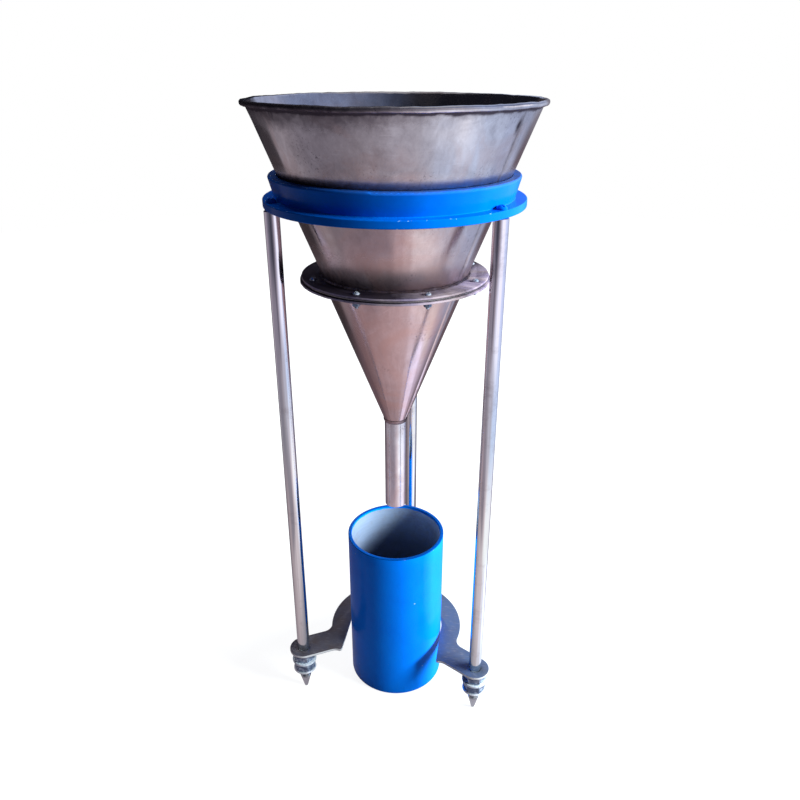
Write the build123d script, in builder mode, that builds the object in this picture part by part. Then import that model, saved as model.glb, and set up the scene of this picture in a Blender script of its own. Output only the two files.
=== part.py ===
"""Bulk density apparatus: a sieve funnel on a three-legged stand, over a one-litre measure.

Millimetres, +Z up. The origin is on the funnel's axis at floor level, the rear leg is at +Y,
and the base plate opens towards -Y, where the measure goes in and out.
"""

import os
from math import asin, atan2, cos, degrees, hypot, radians, sin, tan

from build123d import *

os.makedirs("parts", exist_ok=True)

# Legs: polished rods, threaded and pointed at the lower end
leg_names = ["rear", "left", "right"]
rear_leg_angle = 90.0
leg_circle_diameter = 199.6
leg_diameter = 12.0
leg_length = 487.0
leg_point_length = 18.0
leg_point_diameter = 3.0

# Support ring: a flat flange under a flared collar, bored to the funnel's cone
ring_flange_thickness = 6.0
ring_ledge_width = 9.5
ring_edge_round = 0.8
collar_height = 17.5
collar_flare = 4.8
collar_land = 7.0
collar_edge_round = 1.5
collar_root_round = 0.5
seat_clearance = 0.3

# Leg screws: M5, domed heads on the ring's ledge
leg_screw_diameter = 5.0
leg_screw_head_diameter = 8.5
leg_screw_head_side = 1.2
leg_screw_head_height = 3.3
leg_screw_grip = 14.0
leg_screw_hole_clearance = 0.2
tapped_hole_spare = 2.0
thread_clearance = 0.05

# Measure: one litre, a tube with a disc let into its lower end
measure_bore = 87.2
measure_wall = 3.4
measure_depth = 167.4
measure_base_thickness = 1.6
measure_edge_round = 0.6
base_disc_clearance = 0.02

# Base plate: a horseshoe with three arms
plate_top = 52.3
plate_thickness = 2.5
plate_disc_diameter = 135.0
plate_arm_width = 27.5
plate_corner_radius = 10.0
plate_horn_radius = 2.0
plate_slot_clearance = 0.8
plate_hole_clearance = 0.25

# Foot nuts and washers: M12
nut_across_flats = 19.0
nut_height = 10.8
nut_chamfer = 1.2
washer_diameter = 24.0
washer_bore = 13.0
washer_thickness = 2.5

# Funnel: two sheet-metal cones joined by flanges
sheet_thickness = 1.0
rim_diameter = 232.6
rim_wire_diameter = 2.0
rim_wire_clearance = 0.05
rim_curl_angle = 285.0
throat_diameter = 121.6
upper_cone_height = 132.6
lower_cone_height = 132.0
spout_diameter = 20.0
spout_wall = 1.2
spout_length = 91.0

# Flange joint: flange, gasket, sieve plate, gasket, flange
flange_width = 17.0
flange_thickness = 1.6
lower_flange_overhang = 1.4
gasket_inset = 0.8
gasket_thickness = 0.5
sieve_thickness = 0.6
sieve_hole = 5.0
sieve_pitch = 8.0
sieve_border = 3.0

# Flange screws: M3, round heads up, nuts under the lower flange
flange_screw_count = 8
flange_screw_start = 30.0
flange_screw_edge = 7.3
flange_screw_diameter = 3.0
flange_screw_head_diameter = 5.5
flange_screw_head_side = 0.6
flange_screw_head_height = 2.2
flange_screw_spare = 1.8
flange_screw_hole_clearance = 0.2
flange_nut_across_flats = 5.5
flange_nut_height = 2.4

# Heights and radii that follow from the sizes above
leg_angles = {name: rear_leg_angle + 360 / len(leg_names) * turn for turn, name in enumerate(leg_names)}
leg_circle_radius = leg_circle_diameter / 2
leg_radius = leg_diameter / 2
collar_root_radius = leg_circle_radius - ring_ledge_width / 2
ring_radius = leg_circle_radius + ring_ledge_width / 2
ledge_height = leg_length + ring_flange_thickness
collar_top = ledge_height + collar_height
measure_radius = measure_bore / 2 + measure_wall
measure_height = measure_depth + measure_base_thickness
throat_radius = throat_diameter / 2
upper_flange_radius = throat_radius + flange_width
lower_flange_radius = upper_flange_radius + lower_flange_overhang
gasket_radius = upper_flange_radius - gasket_inset
flange_screw_circle_radius = upper_flange_radius - flange_screw_edge
spout_radius = spout_diameter / 2

# The upper cone's outer face starts at the throat and is tangent to the inside of the rim's curl
curl_bore = rim_wire_diameter / 2 + rim_wire_clearance
curl_radius = curl_bore + sheet_thickness
rim_centre_radius = rim_diameter / 2 - curl_radius
rim_run = rim_centre_radius - throat_radius
rim_reach = hypot(rim_run, upper_cone_height)
upper_angle = atan2(rim_run, upper_cone_height) - asin(curl_bore / rim_reach)
upper_wall = sheet_thickness / cos(upper_angle)

# The funnel hangs where its cone meets the ring's conical bore, one clearance away
seat_radius = collar_root_radius + collar_flare - collar_land
seat_gap = seat_clearance / cos(upper_angle)
joint_top = collar_top - (seat_radius - seat_gap - throat_radius) / tan(upper_angle)
bore_radius_below = seat_radius - (collar_height + ring_flange_thickness) * tan(upper_angle)

# Levels of the flange joint, from the top down
upper_flange_base = joint_top - flange_thickness
sieve_top = upper_flange_base - gasket_thickness
sieve_base = sieve_top - sieve_thickness
lower_flange_top = sieve_base - gasket_thickness
joint_base = lower_flange_top - flange_thickness
joint_thickness = joint_top - joint_base
flange_bore = throat_radius - upper_wall

# The lower cone narrows from the same throat to the spout
lower_angle = atan2(throat_radius - spout_radius, lower_cone_height)
lower_wall = sheet_thickness / cos(lower_angle)
spout_top = joint_base - lower_cone_height

# Levels of the foot stack, from the plate down
plate_base = plate_top - plate_thickness
plate_nut_base = plate_base - nut_height
washer_base = plate_nut_base - washer_thickness
lock_nut_base = washer_base - nut_height


def leg_plane(angle, height=0.0):
    """Level plane on the axis of the leg at this angle."""
    turn = radians(angle)
    return Plane(origin=(leg_circle_radius * cos(turn), leg_circle_radius * sin(turn), height))


def round_head_screw(shank_diameter, length, head_diameter, head_side, head_height):
    """Screw standing on Z, its head's underside at zero, with a short side under a domed top."""
    shank = shank_diameter / 2
    edge = head_diameter / 2
    rise = head_height - head_side
    dome_radius = (edge ** 2 + rise ** 2) / (2 * rise)
    dome_angle = degrees(asin(edge / dome_radius))
    with BuildPart() as screw:
        with BuildSketch(Plane.XZ):
            with BuildLine():
                CenterArc((0, head_height - dome_radius), dome_radius, 90 - dome_angle, dome_angle)
                Polyline((0, head_height), (0, -length), (shank, -length), (shank, 0), (edge, 0), (edge, head_side))
            make_face()
        revolve(axis=Axis.Z)
    return screw.part


# Upper cone: one sheet, its top edge curled outward round a wire
inner_tangent = (
    rim_centre_radius - curl_radius * cos(upper_angle),
    joint_top + upper_cone_height + curl_radius * sin(upper_angle),
)
outer_tangent = (
    rim_centre_radius - curl_bore * cos(upper_angle),
    joint_top + upper_cone_height + curl_bore * sin(upper_angle),
)
curl_start = 180 - degrees(upper_angle)
with BuildPart() as upper_cone:
    with BuildSketch(Plane.XZ):
        with BuildLine():
            curl_centre = (rim_centre_radius, joint_top + upper_cone_height)
            Line((throat_radius - upper_wall, joint_top), inner_tangent)
            outside = CenterArc(curl_centre, curl_radius, curl_start, -rim_curl_angle)
            inside = CenterArc(curl_centre, curl_bore, curl_start, -rim_curl_angle)
            Line(outside @ 1, inside @ 1)
            Line(outer_tangent, (throat_radius, joint_top))
            Line((throat_radius, joint_top), (throat_radius - upper_wall, joint_top))
        make_face()
    revolve(axis=Axis.Z)
upper_cone.part.label = "upper_cone"
export_step(upper_cone.part, "parts/upper_cone.step")

# Wire that stiffens the rim, closed inside the curl
with BuildPart() as rim_wire:
    with BuildSketch(Plane.XZ):
        with Locations((rim_centre_radius, joint_top + upper_cone_height)):
            Circle(rim_wire_diameter / 2)
    revolve(axis=Axis.Z)
rim_wire.part.label = "rim_wire"
export_step(rim_wire.part, "parts/rim_wire.step")

# Flanges: flat rings that the two cones are welded to
flange_hole = flange_screw_diameter / 2 + flange_screw_hole_clearance
with BuildPart() as upper_flange:
    with BuildSketch(Plane.XY.offset(upper_flange_base)):
        Circle(upper_flange_radius)
        Circle(flange_bore, mode=Mode.SUBTRACT)
        with PolarLocations(flange_screw_circle_radius, flange_screw_count, flange_screw_start):
            Circle(flange_hole, mode=Mode.SUBTRACT)
    extrude(amount=flange_thickness)
upper_flange.part.label = "upper_flange"
export_step(upper_flange.part, "parts/upper_flange.step")

with BuildPart() as lower_flange:
    with BuildSketch(Plane.XY.offset(joint_base)):
        Circle(lower_flange_radius)
        Circle(flange_bore, mode=Mode.SUBTRACT)
        with PolarLocations(flange_screw_circle_radius, flange_screw_count, flange_screw_start):
            Circle(flange_hole, mode=Mode.SUBTRACT)
    extrude(amount=flange_thickness)
lower_flange.part.label = "lower_flange"
export_step(lower_flange.part, "parts/lower_flange.step")

# Gaskets: thin rubber rings above and below the sieve plate
gasket_levels = {"upper_gasket": sieve_top, "lower_gasket": lower_flange_top}
for gasket_name, gasket_level in gasket_levels.items():
    with BuildPart() as gasket:
        with BuildSketch(Plane.XY.offset(gasket_level)):
            Circle(gasket_radius)
            Circle(flange_bore, mode=Mode.SUBTRACT)
            with PolarLocations(flange_screw_circle_radius, flange_screw_count, flange_screw_start):
                Circle(flange_hole, mode=Mode.SUBTRACT)
        extrude(amount=gasket_thickness)
    gasket.part.label = gasket_name
    export_step(gasket.part, f"parts/{gasket_name}.step")

# Sieve plate: square holes on a square pitch, all inside the throat
sieve_reach = int(flange_bore // sieve_pitch)
sieve_steps = [sieve_pitch * step for step in range(-sieve_reach, sieve_reach + 1)]
sieve_limit = flange_bore - sieve_border - sieve_hole / 2 ** 0.5
sieve_spots = [(x, y) for x in sieve_steps for y in sieve_steps if hypot(x, y) <= sieve_limit]
with BuildPart() as sieve_plate:
    with BuildSketch(Plane.XY.offset(sieve_base)):
        Circle(gasket_radius)
        with PolarLocations(flange_screw_circle_radius, flange_screw_count, flange_screw_start):
            Circle(flange_hole, mode=Mode.SUBTRACT)
        with Locations(*sieve_spots):
            Rectangle(sieve_hole, sieve_hole, mode=Mode.SUBTRACT)
    extrude(amount=sieve_thickness)
sieve_plate.part.label = "sieve_plate"
export_step(sieve_plate.part, "parts/sieve_plate.step")

# Lower cone: carries the powder from the sieve to the spout
with BuildPart() as lower_cone:
    with BuildSketch(Plane.XZ):
        with BuildLine():
            Polyline(
                (throat_radius - lower_wall, joint_base),
                (throat_radius, joint_base),
                (spout_radius, spout_top),
                (spout_radius - lower_wall, spout_top),
                close=True,
            )
        make_face()
    revolve(axis=Axis.Z)
lower_cone.part.label = "lower_cone"
export_step(lower_cone.part, "parts/lower_cone.step")

# Spout: a straight tube butt-welded to the cone's small end
with BuildPart() as spout_tube:
    with BuildSketch(Plane.XY.offset(spout_top)):
        Circle(spout_radius)
        Circle(spout_radius - spout_wall, mode=Mode.SUBTRACT)
    extrude(amount=-spout_length)
spout_tube.part.label = "spout_tube"
export_step(spout_tube.part, "parts/spout_tube.step")

# Flange screws: round heads on the upper flange, shanks down through the joint
flange_screw_length = joint_thickness + flange_nut_height + flange_screw_spare
flange_screw = round_head_screw(
    flange_screw_diameter, flange_screw_length,
    flange_screw_head_diameter, flange_screw_head_side, flange_screw_head_height,
)
with BuildPart() as flange_screws:
    with Locations(Plane.XY.offset(joint_top)):
        with PolarLocations(flange_screw_circle_radius, flange_screw_count, flange_screw_start):
            add(flange_screw)
flange_screws.part.label = "flange_screws"
export_step(flange_screws.part, "parts/flange_screws.step")

# Flange nuts: plain hexagons under the lower flange
with BuildPart() as flange_nuts:
    with BuildSketch(Plane.XY.offset(joint_base)):
        with PolarLocations(flange_screw_circle_radius, flange_screw_count, flange_screw_start):
            RegularPolygon(flange_nut_across_flats / 2, 6, major_radius=False)
            Circle(flange_screw_diameter / 2 + thread_clearance, mode=Mode.SUBTRACT)
    extrude(amount=-flange_nut_height)
flange_nuts.part.label = "flange_nuts"
export_step(flange_nuts.part, "parts/flange_nuts.step")

# Support ring: flange, ledge and flared collar, bored to the funnel's cone
with BuildPart() as support_ring:
    with BuildSketch(Plane.XZ):
        with BuildLine():
            Polyline(
                (bore_radius_below, leg_length),
                (ring_radius, leg_length),
                (ring_radius, ledge_height),
                (collar_root_radius, ledge_height),
                (collar_root_radius + collar_flare, collar_top),
                (seat_radius, collar_top),
                close=True,
            )
        ring_profile = make_face()
        flange_edge = ring_profile.vertices().group_by(Axis.X)[-1]
        fillet(flange_edge, ring_edge_round)
        collar_edge = vertices().group_by(Axis.Y)[-1].sort_by(Axis.X)[-1]
        fillet(collar_edge, collar_edge_round)
        collar_root = vertices().sort_by_distance((collar_root_radius, ledge_height))[0]
        fillet(collar_root, collar_root_round)
    revolve(axis=Axis.Z)
    with Locations(Plane.XY.offset(ledge_height)):
        for leg_angle in leg_angles.values():
            with PolarLocations(leg_circle_radius, 1, leg_angle):
                Hole(leg_screw_diameter / 2 + leg_screw_hole_clearance, ring_flange_thickness)
support_ring.part.label = "support_ring"
export_step(support_ring.part, "parts/support_ring.step")

# Legs: rods from the ring down to the floor, tapped on top and pointed below
for leg_name, leg_angle in leg_angles.items():
    with BuildPart(leg_plane(leg_angle)) as leg:
        Cone(leg_point_diameter / 2, leg_radius, leg_point_length,
             align=(Align.CENTER, Align.CENTER, Align.MIN))
        with Locations((0, 0, leg_point_length)):
            Cylinder(leg_radius, leg_length - leg_point_length, align=(Align.CENTER, Align.CENTER, Align.MIN))
        with Locations((0, 0, leg_length)):
            Hole(leg_screw_diameter / 2 + thread_clearance, leg_screw_grip + tapped_hole_spare)
    leg.part.label = f"leg_{leg_name}"
    export_step(leg.part, f"parts/leg_{leg_name}.step")

# Leg screws: through the ring's ledge into the tapped rods
leg_screw = round_head_screw(
    leg_screw_diameter, ring_flange_thickness + leg_screw_grip,
    leg_screw_head_diameter, leg_screw_head_side, leg_screw_head_height,
)
with BuildPart() as leg_screws:
    for leg_angle in leg_angles.values():
        with Locations(leg_plane(leg_angle, ledge_height)):
            add(leg_screw)
leg_screws.part.label = "leg_screws"
export_step(leg_screws.part, "parts/leg_screws.step")

# Base plate: a disc with three arms, open at the front for the measure
plate_disc_radius = plate_disc_diameter / 2
slot_radius = measure_radius + plate_slot_clearance
with BuildPart() as base_plate:
    with BuildSketch(Plane.XY.offset(plate_base)):
        Circle(plate_disc_radius)
        for leg_angle in leg_angles.values():
            with PolarLocations(leg_circle_radius / 2, 1, leg_angle):
                SlotCenterToCenter(leg_circle_radius, plate_arm_width)
        arm_roots = vertices().group_by(SortBy.DISTANCE)[0]
        fillet(arm_roots, plate_corner_radius)
        Circle(slot_radius, mode=Mode.SUBTRACT)
        Rectangle(2 * slot_radius, plate_disc_diameter, align=(Align.CENTER, Align.MAX), mode=Mode.SUBTRACT)
        slot_sides = edges().filter_by(Axis.Y).group_by(Axis.Y)[0]
        horns = slot_sides.vertices().group_by(Axis.Y)[0]
        fillet(horns, plate_horn_radius)
        for leg_angle in leg_angles.values():
            with PolarLocations(leg_circle_radius, 1, leg_angle):
                Circle(leg_radius + plate_hole_clearance, mode=Mode.SUBTRACT)
    extrude(amount=plate_thickness)
base_plate.part.label = "base_plate"
export_step(base_plate.part, "parts/base_plate.step")

# Foot nut: a hexagon with its corners turned off at both ends
nut_corner = nut_across_flats / 2 / cos(radians(30))
nut_face = nut_across_flats / 2
with BuildPart() as foot_nut:
    with BuildSketch():
        RegularPolygon(nut_face, 6, major_radius=False)
        Circle(leg_radius + thread_clearance, mode=Mode.SUBTRACT)
    extrude(amount=nut_height)
    with BuildSketch(Plane.XZ):
        with BuildLine():
            Polyline((0, 0), (nut_face, 0), (nut_corner, nut_chamfer), (nut_corner, nut_height - nut_chamfer),
                     (nut_face, nut_height), (0, nut_height), close=True)
        make_face()
    revolve(axis=Axis.Z, mode=Mode.INTERSECT)

# Plate nuts: the base plate rests on them
with BuildPart() as plate_nuts:
    for leg_angle in leg_angles.values():
        with Locations(leg_plane(leg_angle, plate_nut_base)):
            add(foot_nut.part)
plate_nuts.part.label = "plate_nuts"
export_step(plate_nuts.part, "parts/plate_nuts.step")

# Foot washers and lock nuts: run up the thread against the plate nuts
for leg_name, leg_angle in leg_angles.items():
    with BuildPart() as foot_washer:
        with BuildSketch(leg_plane(leg_angle, washer_base)):
            Circle(washer_diameter / 2)
            Circle(washer_bore / 2, mode=Mode.SUBTRACT)
        extrude(amount=washer_thickness)
    foot_washer.part.label = f"foot_washer_{leg_name}"
    export_step(foot_washer.part, f"parts/foot_washer_{leg_name}.step")

    with BuildPart() as lock_nut:
        with Locations(leg_plane(leg_angle, lock_nut_base)):
            add(foot_nut.part)
    lock_nut.part.label = f"lock_nut_{leg_name}"
    export_step(lock_nut.part, f"parts/lock_nut_{leg_name}.step")

# Measure: a straight tube that stands on its lower edge, and the disc that closes it
with BuildPart() as measure_tube:
    with BuildSketch():
        Circle(measure_radius)
        Circle(measure_bore / 2, mode=Mode.SUBTRACT)
    extrude(amount=measure_height)
    fillet(measure_tube.faces().sort_by(Axis.Z)[-1].edges(), measure_edge_round)
measure_tube.part.label = "measure_tube"
export_step(measure_tube.part, "parts/measure_tube.step")

with BuildPart() as measure_base:
    with BuildSketch():
        Circle(measure_bore / 2 - base_disc_clearance)
    extrude(amount=measure_base_thickness)
measure_base.part.label = "measure_base"
export_step(measure_base.part, "parts/measure_base.step")
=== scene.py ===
from math import asin, atan2, cos, exp, hypot, pi, radians, sin, tan

import bmesh
import bpy
from mathutils import Matrix, Vector, noise


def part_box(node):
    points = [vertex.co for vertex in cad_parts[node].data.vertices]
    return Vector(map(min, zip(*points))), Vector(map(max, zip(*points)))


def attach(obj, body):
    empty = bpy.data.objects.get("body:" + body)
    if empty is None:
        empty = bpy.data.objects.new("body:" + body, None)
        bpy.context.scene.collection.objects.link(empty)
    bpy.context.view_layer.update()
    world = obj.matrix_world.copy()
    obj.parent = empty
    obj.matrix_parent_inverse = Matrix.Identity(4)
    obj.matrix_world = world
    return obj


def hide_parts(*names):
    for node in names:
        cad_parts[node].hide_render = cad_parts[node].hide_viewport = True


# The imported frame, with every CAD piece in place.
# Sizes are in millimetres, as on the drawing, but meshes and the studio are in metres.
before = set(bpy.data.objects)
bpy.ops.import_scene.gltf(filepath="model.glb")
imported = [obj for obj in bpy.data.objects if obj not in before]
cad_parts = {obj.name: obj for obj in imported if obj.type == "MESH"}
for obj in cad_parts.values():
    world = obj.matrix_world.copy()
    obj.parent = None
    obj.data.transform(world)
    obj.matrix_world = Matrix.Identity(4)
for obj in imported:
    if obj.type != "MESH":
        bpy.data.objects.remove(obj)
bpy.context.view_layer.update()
mm = 0.001

# Legs: three bright-drawn steel rods, polished lengthwise by hand. The lower end is turned to a
# point and cut with an M12 thread for the foot nuts, and the top is tapped for a screw in the ring.
leg_names = ("rear", "left", "right")
leg_sides = 48
leg_tip_radius = 1.5
leg_tip_ease = 0.3
leg_point_length = 18.0
leg_point_row = 3.4
leg_thread_pitch = 1.75
leg_thread_depth = 1.0
leg_thread_start = 6.2
leg_thread_end = 52.0
thread_flat = 0.12
rows_per_thread = 8
shank_heights = [60.0 + 53.0 * step for step in range(8)]
leg_end_ease = 0.4
tapped_radius = 2.55
tapped_depth = 16.0
drill_point = 1.4
# Heights and tints of a painted change in the tone of what the rods reflect
rod_reflection_tint_heights = (200.0, 420.0)
rod_bright = (0.94, 0.93, 0.97, 1)
rod_dull = (0.77, 0.76, 0.80, 1)
rod_high_reflection_tint = (0.98, 0.94, 1.0, 1)
rod_low_reflection_tint = (0.84, 0.96, 0.92, 1)
rod_smudge = (0.30, 0.26, 0.27, 1)
thread_dirt = (0.035, 0.03, 0.035, 1)


def span(node):
    """Lowest and highest corners of a CAD piece, in millimetres."""
    return [[length / mm for length in corner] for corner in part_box(node)]


leg_low, leg_high = span("leg_rear")
leg_radius = (leg_high[0] - leg_low[0]) / 2
leg_length = leg_high[2]


def even_turns(count):
    """Equal angles round an axis."""
    return [2 * pi * step / count for step in range(count)]


def turned(name, outline, turns, centre=(0, 0), closed=True):
    """Mesh swept round an upright axis at the centre. outline(turn) lists (radius, height) or
    (radius, height, mark), up the outside and down the inside. Marks are kept on the points."""
    columns = [[(*point, 0)[:3] for point in outline(turn)] for turn in turns]
    rows = len(columns[0])
    spots = [
        ((centre[0] + radius * cos(turn)) * mm, (centre[1] + radius * sin(turn)) * mm, height * mm)
        for turn, column in zip(turns, columns)
        for radius, height, mark in column
    ]
    faces = []
    for side in range(len(turns)):
        here, there = side * rows, (side + 1) % len(turns) * rows
        for row in range(rows if closed else rows - 1):
            above = (row + 1) % rows
            faces.append((here + row, there + row, there + above, here + above))
    mesh = bpy.data.meshes.new(name)
    mesh.from_pydata(spots, [], faces)
    marks = mesh.attributes.new("mark", "FLOAT", "POINT")
    marks.data.foreach_set("value", [float(point[2]) for column in columns for point in column])
    work = bmesh.new()
    work.from_mesh(mesh)
    bmesh.ops.remove_doubles(work, verts=work.verts, dist=1e-7)
    work.to_mesh(mesh)
    work.free()
    return softened(mesh)


def softened(mesh, crease=34.0):
    """Smooth shading, with the edges sharper than the crease left crisp."""
    mesh.shade_smooth()
    mesh.set_sharp_from_angle(angle=radians(crease))
    return mesh


def put_in(name, data):
    """A new object in the scene."""
    made = bpy.data.objects.new(name, data)
    bpy.context.scene.collection.objects.link(made)
    return made


def coated(mesh, finish):
    """Gives a mesh this finish and no other."""
    mesh.materials.clear()
    mesh.materials.append(finish)


def dressed(mesh, body, slot, finish, *nodes):
    """Puts a piece in the scene under its mesh's name, with its finish, on its body, in place of the
    CAD nodes named."""
    coated(mesh, finish)
    piece = put_in(mesh.name, mesh)
    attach(piece, body)
    if nodes:
        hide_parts(*nodes)


def shader_node(tree, kind, inputs=(), **settings):
    """Places a shader node. Inputs are values, or sockets to link from."""
    made = tree.nodes.new("ShaderNode" + kind)
    for key, value in settings.items():
        setattr(made, key, value)
    for key, value in dict(inputs).items():
        if isinstance(value, bpy.types.NodeSocket):
            tree.links.new(value, made.inputs[key])
        else:
            made.inputs[key].default_value = value
    return made


def reckon(tree, operation, *values):
    """One step of arithmetic."""
    return shader_node(tree, "Math", enumerate(values), operation=operation).outputs[0]


def ranged(tree, value, low, high, start=0.0, end=1.0):
    """A value's range stretched to another, and held at its ends."""
    return shader_node(tree, "MapRange", {0: value, 1: low, 2: high, 3: start, 4: end}).outputs[0]


def by_noise(tree, cloud, start=0.0, end=1.0):
    """A value that follows noise, over the middle range where most of the noise lies."""
    return ranged(tree, cloud, 0.3, 0.7, start, end)


def added(tree, base, extra, weight):
    """A value with another added to it, at this weight."""
    return reckon(tree, "MULTIPLY_ADD", extra, weight, base)


def tinted(tree, share, first, second, way="MIX"):
    """The second colour over the first, by its share."""
    inputs = {0: share, 6: first, 7: second}
    return shader_node(tree, "Mix", inputs, data_type="RGBA", blend_type=way).outputs[2]


def laid(tree, colour, cover, mask, weight):
    """A colour with another laid over it where the mask is, at this weight."""
    return tinted(tree, reckon(tree, "MULTIPLY", mask, weight), colour, cover)


def mottle(tree, spot, scale, detail=3.0, roughness=0.55, swirl=0.0):
    """Cloudy noise from 0 to 1, smeared by its swirl."""
    inputs = {"Vector": spot, "Scale": scale, "Detail": detail, "Roughness": roughness, "Distortion": swirl}
    return shader_node(tree, "TexNoise", inputs).outputs[0]


def worked(tree, operation, *places):
    """One step of arithmetic with places."""
    return shader_node(tree, "VectorMath", enumerate(places), operation=operation).outputs


def stretched(tree, spot, by):
    """A place scaled differently along each axis."""
    return worked(tree, "MULTIPLY", spot, by)[0]


def spot_on(tree):
    """A place on the piece, from the piece's own origin."""
    return shader_node(tree, "TexCoord").outputs["Object"]


def height_on(tree, spot):
    """Height of a place above the floor."""
    return shader_node(tree, "SeparateXYZ", {0: spot}).outputs[2]


def graded(tree, length, low, high, start=0.0, end=1.0):
    """A value that changes between two lengths, which are given in millimetres."""
    return ranged(tree, length, low * mm, high * mm, start, end)


def mark_on(tree):
    """The mark kept on a mesh's points."""
    return shader_node(tree, "Attribute", attribute_name="mark").outputs["Fac"]


def effect(name, takes, gives):
    """Starts a surface effect that several finishes share, and gives its tree, inputs and outputs."""
    tree = bpy.data.node_groups.new(name, "ShaderNodeTree")
    for label, kind in takes.items():
        tree.interface.new_socket(label, in_out="INPUT", socket_type="NodeSocket" + kind)
    for label in gives:
        tree.interface.new_socket(label, in_out="OUTPUT", socket_type="NodeSocketFloat")
    return tree, tree.nodes.new("NodeGroupInput").outputs, tree.nodes.new("NodeGroupOutput").inputs


def surface(name, **plain):
    """Starts a finish. Its plain values are set on the shader's own sockets."""
    made = bpy.data.materials.new(name)
    made.use_nodes = True
    tree = made.node_tree
    shader = tree.nodes["Principled BSDF"]
    for label, value in plain.items():
        shader.inputs[label.replace("_", " ")].default_value = value
    return made, tree, spot_on(tree)


def placed(tree, group, **inputs):
    """A shared effect placed in a finish with its own values."""
    return shader_node(tree, "Group", inputs, node_tree=group).outputs


def joined(tree, **links):
    """Links a finish's sockets to its shader."""
    shader = tree.nodes["Principled BSDF"]
    for label, socket in links.items():
        tree.links.new(socket, shader.inputs[label.replace("_", " ")])


def bumped(tree, height, depth):
    """Relief on the surface, its depth in millimetres."""
    relief = shader_node(tree, "Bump", {"Height": height, "Distance": depth * mm, "Strength": 1.0})
    joined(tree, Normal=relief.outputs[0])


# Lines left by drawing, brushing or turning, along the direction that is stretched least
drawn_marks, takes, gives = effect("drawn_marks", {"Spot": "Vector", "Stretch": "Vector"}, ["Marks"])
drawn = stretched(drawn_marks, takes["Spot"], takes["Stretch"])
drawn_marks.links.new(mottle(drawn_marks, drawn, 1.0, 4.0, 0.62), gives["Marks"])

# Blotches of handling dirt, at a size in blotches per metre
grime, takes, gives = effect(
    "grime", {"Spot": "Vector", "Size": "Float", "Amount": "Float"}, ["Mask"])
broad = mottle(grime, takes["Spot"], takes["Size"], 6.0, 0.62)
fine = mottle(grime, takes["Spot"], reckon(grime, "MULTIPLY", takes["Size"], 5.3), 4.0, 0.6)
blotch = added(grime, reckon(grime, "MULTIPLY", broad, 0.6), fine, 0.4)
edge = added(grime, 0.68, takes["Amount"], -0.3)
grime.links.new(ranged(grime, blotch, edge, reckon(grime, "ADD", edge, 0.16)), gives["Mask"])


def lines_on(tree, spot, stretch):
    """Drawn or brushed lines in a finish."""
    return placed(tree, drawn_marks, Spot=spot, Stretch=stretch)["Marks"]


def dirt_on(tree, spot, size, amount):
    """Blotches of dirt in a finish."""
    return placed(tree, grime, Spot=spot, Size=size, Amount=amount)["Mask"]


polished_rod, tree, spot = surface("polished_rod", Metallic=1.0)
marks = lines_on(tree, spot, (1600, 1600, 9))
smudge = dirt_on(tree, spot, 26.0, 0.55)
groove = mark_on(tree)
# Greener low down and pinker high up: a painted change in the tone of what the rods reflect
rod_reflection_tint = tinted(tree, graded(tree, height_on(tree, spot), *rod_reflection_tint_heights), rod_low_reflection_tint, rod_high_reflection_tint)
rod_colour = tinted(tree, by_noise(tree, marks), rod_dull, rod_bright)
rod_colour = tinted(tree, 1.0, rod_colour, rod_reflection_tint, "MULTIPLY")
rod_colour = laid(tree, rod_colour, rod_smudge, smudge, 0.45)
rod_colour = tinted(tree, ranged(tree, groove, 0.1, 0.9, 0.0, 0.9), rod_colour, thread_dirt)
shine = added(tree, by_noise(tree, marks, 0.13, 0.06), smudge, 0.16)
joined(tree, Base_Color=rod_colour, Roughness=added(tree, shine, groove, 0.3))
bumped(tree, marks, 0.012)


def thread_wave(height, pitch, turn):
    """Place on a thread's flank: none at the crest and one at the root."""
    return abs(2 * ((height / pitch - turn / (2 * pi)) % 1) - 1)


def thread_cut(wave):
    """Depth of a thread, from none to one, with its crest and root flattened."""
    return min(1.0, max(0.0, (wave - thread_flat) / (1 - 2 * thread_flat)))


def leg_outline(turn):
    """Point, thread, plain shank and tapped hole of a leg, at one angle."""
    taper = (leg_radius - leg_tip_radius) / leg_point_length
    points = [
        (0, 0), (leg_tip_radius - leg_tip_ease, 0), (leg_tip_radius, leg_tip_ease),
        (leg_tip_radius + leg_point_row * taper, leg_point_row),
    ]
    for row in range(int((leg_thread_end - leg_thread_start) / leg_thread_pitch * rows_per_thread) + 1):
        height = leg_thread_start + row * leg_thread_pitch / rows_per_thread
        fade = min(1.0, (leg_thread_end - height) / (2 * leg_thread_pitch))
        depth = thread_cut(thread_wave(height, leg_thread_pitch, turn)) * fade
        thread, cone = leg_radius - leg_thread_depth * depth, leg_tip_radius + height * taper
        points.append((min(thread, cone), height, depth if thread < cone else 0))
    points += [(leg_radius, height) for height in shank_heights]
    eased_top = leg_length - leg_end_ease
    points += [
        (leg_radius, eased_top), (leg_radius - leg_end_ease, leg_length),
        (tapped_radius + leg_end_ease, leg_length), (tapped_radius, eased_top),
        (tapped_radius, leg_length - tapped_depth), (0, leg_length - tapped_depth - drill_point),
    ]
    return points


def middle(node):
    """Middle of a CAD piece, seen from above."""
    low, high = span(node)
    return (low[0] + high[0]) / 2, (low[1] + high[1]) / 2


leg_spots = {leg: middle(f"leg_{leg}") for leg in leg_names}
for leg, leg_spot in leg_spots.items():
    rod = turned(f"{leg}_rod", leg_outline, even_turns(leg_sides), leg_spot, closed=False)
    dressed(rod, "stand", "polished_rod", polished_rod, f"leg_{leg}")
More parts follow.
